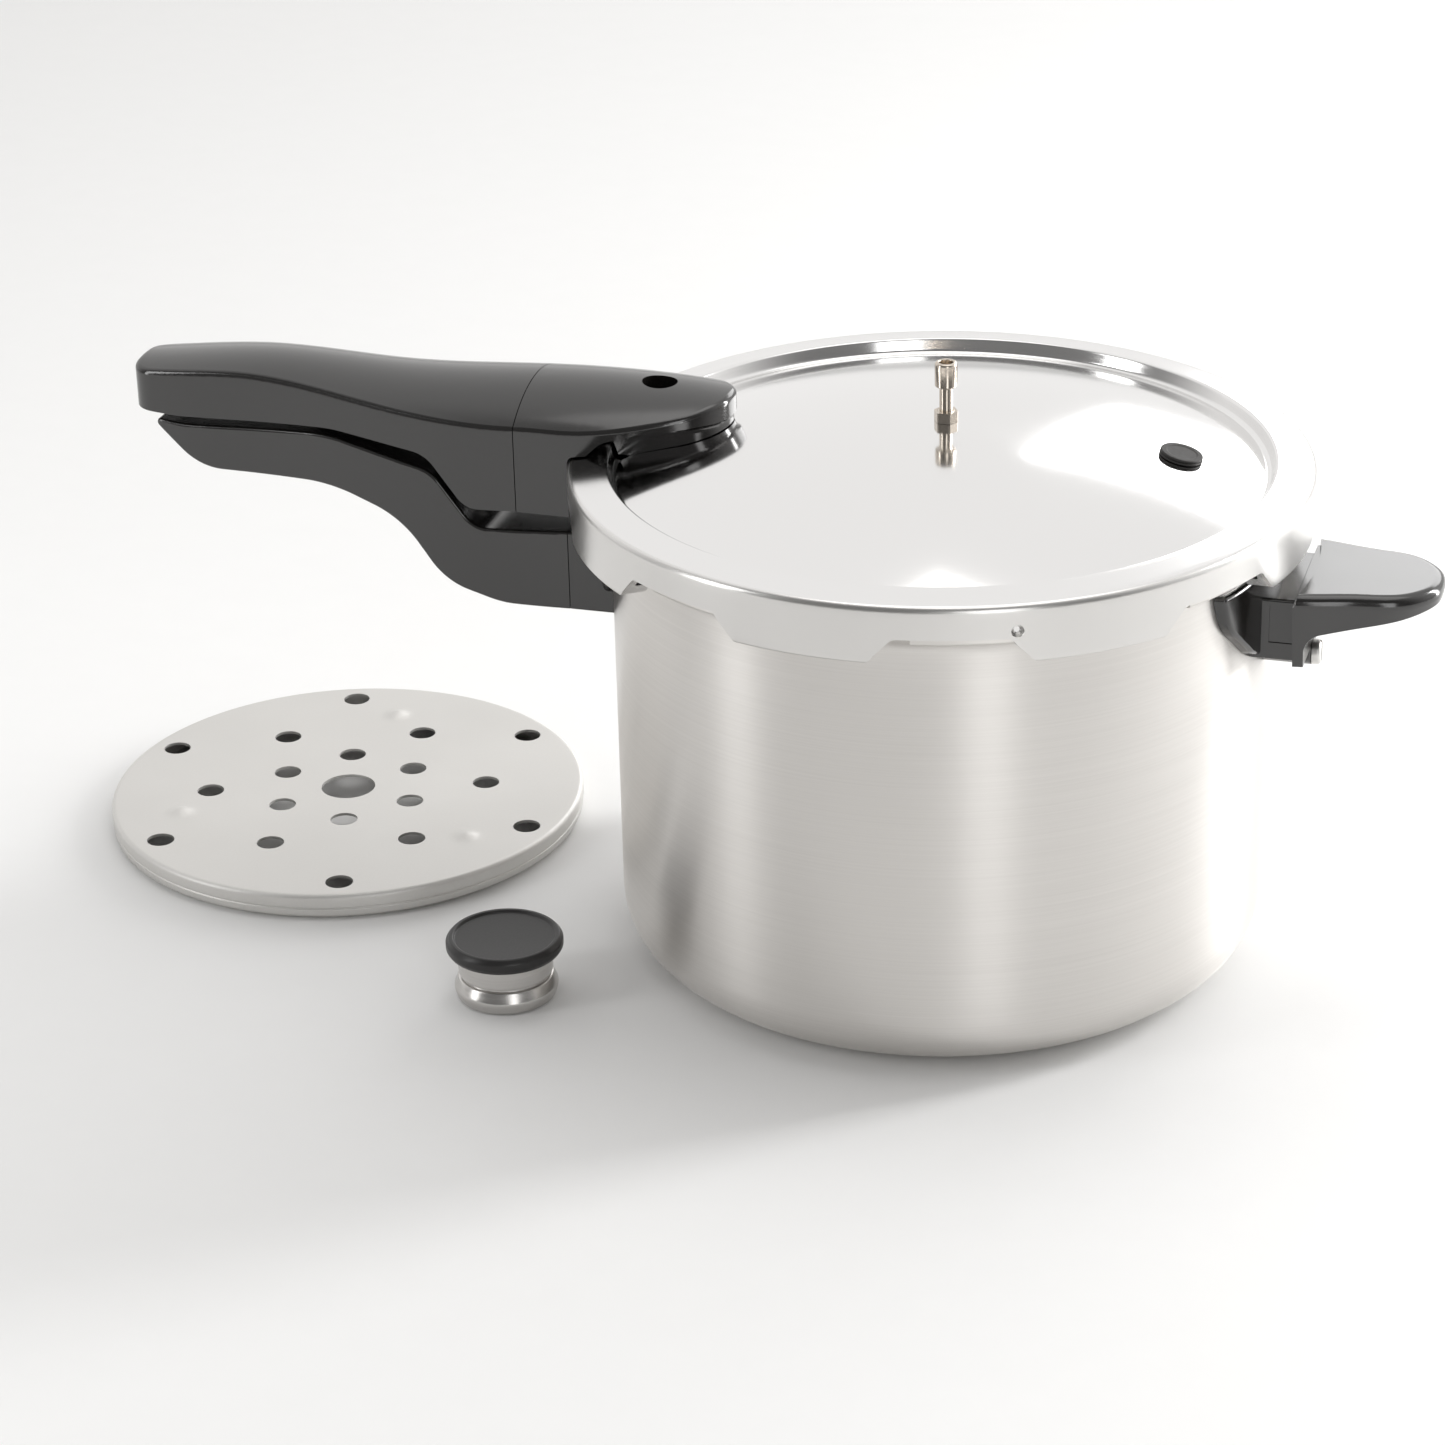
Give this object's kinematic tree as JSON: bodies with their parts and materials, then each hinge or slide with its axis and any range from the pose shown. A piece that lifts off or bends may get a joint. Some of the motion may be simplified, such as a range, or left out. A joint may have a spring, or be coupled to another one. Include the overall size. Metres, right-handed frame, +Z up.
{
  "type": "pressure cooker",
  "caption": "Stovetop pressure cooker with a twist-lock domed lid, long double handle, helper handle, and its cooking rack and weighted regulator standing beside it.",
  "frame": {"origin": "centre of the pot's foot, on the surface it stands on", "axes": "+Z up, +X towards the short helper handle, long handles along -X"},
  "size_m": [0.4788, 0.2432, 0.205],
  "materials": {
    "pot_aluminium": "satin, brushed round the pot",
    "lid_aluminium": "polished, near mirror",
    "black_phenolic": "glossy moulded phenolic",
    "screw_steel": "plain steel",
    "bracket_steel": "plain steel",
    "vent_metal": "nickel plated, turned",
    "ring_rubber": "black rubber",
    "plug_rubber": "black rubber, dull",
    "rack_aluminium": "matte stamped aluminium",
    "regulator_metal": "turned and polished",
    "cap_plastic": "satin black",
    "air_vent_metal": "turned steel"
  },
  "bodies": {
    "pot": {"pot_body": "pot_aluminium", "body_handle_bracket": "bracket_steel", "body_handle_bolster": "black_phenolic", "body_handle_grip": "black_phenolic", "body_handle_screw": "screw_steel", "helper_handle_bracket": "bracket_steel", "helper_handle_bolster": "black_phenolic", "helper_handle_grip": "black_phenolic", "helper_handle_screw": "screw_steel"},
    "seal": {"sealing_ring": "ring_rubber"},
    "lid": {"lid_cover": "lid_aluminium", "vent_pipe": "vent_metal", "vent_pipe_nut": "vent_metal", "vent_pipe_lock_nut": "vent_metal", "overpressure_plug": "plug_rubber", "lid_handle_nose": "black_phenolic", "lid_handle_grip": "black_phenolic", "lid_grip_screw": "screw_steel", "lid_handle_screws": "screw_steel", "lid_handle_washers": "screw_steel"},
    "air_vent": {"air_vent_plunger": "air_vent_metal", "air_vent_gasket": "ring_rubber", "air_vent_cup": "air_vent_metal"},
    "rack": {"cooking_rack": "rack_aluminium"},
    "regulator": {"regulator_weight": "regulator_metal", "regulator_cap": "cap_plastic"}
  },
  "joints": [
    {"name": "lid_lift", "type": "slide", "parent": "pot", "child": "seal", "axis": [0, 0, 1], "range_m": [0, 0.12]},
    {"name": "lid_turn", "type": "hinge", "parent": "seal", "child": "lid", "pos_m": [0, 0, 0], "axis": [0, 0, 1], "range_deg": [0, 22.5]},
    {"name": "air_vent_rise", "type": "slide", "parent": "lid", "child": "air_vent", "axis": [0, 0, 1], "range_m": [0, 0.0047]},
    {"name": "rack_lift", "type": "slide", "parent": "pot", "child": "rack", "axis": [0, 0, 1], "range_m": [0, 0.09]},
    {"name": "regulator_lift", "type": "slide", "parent": "pot", "child": "regulator", "axis": [0, 0, 1], "range_m": [0, 0.12]}
  ]
}
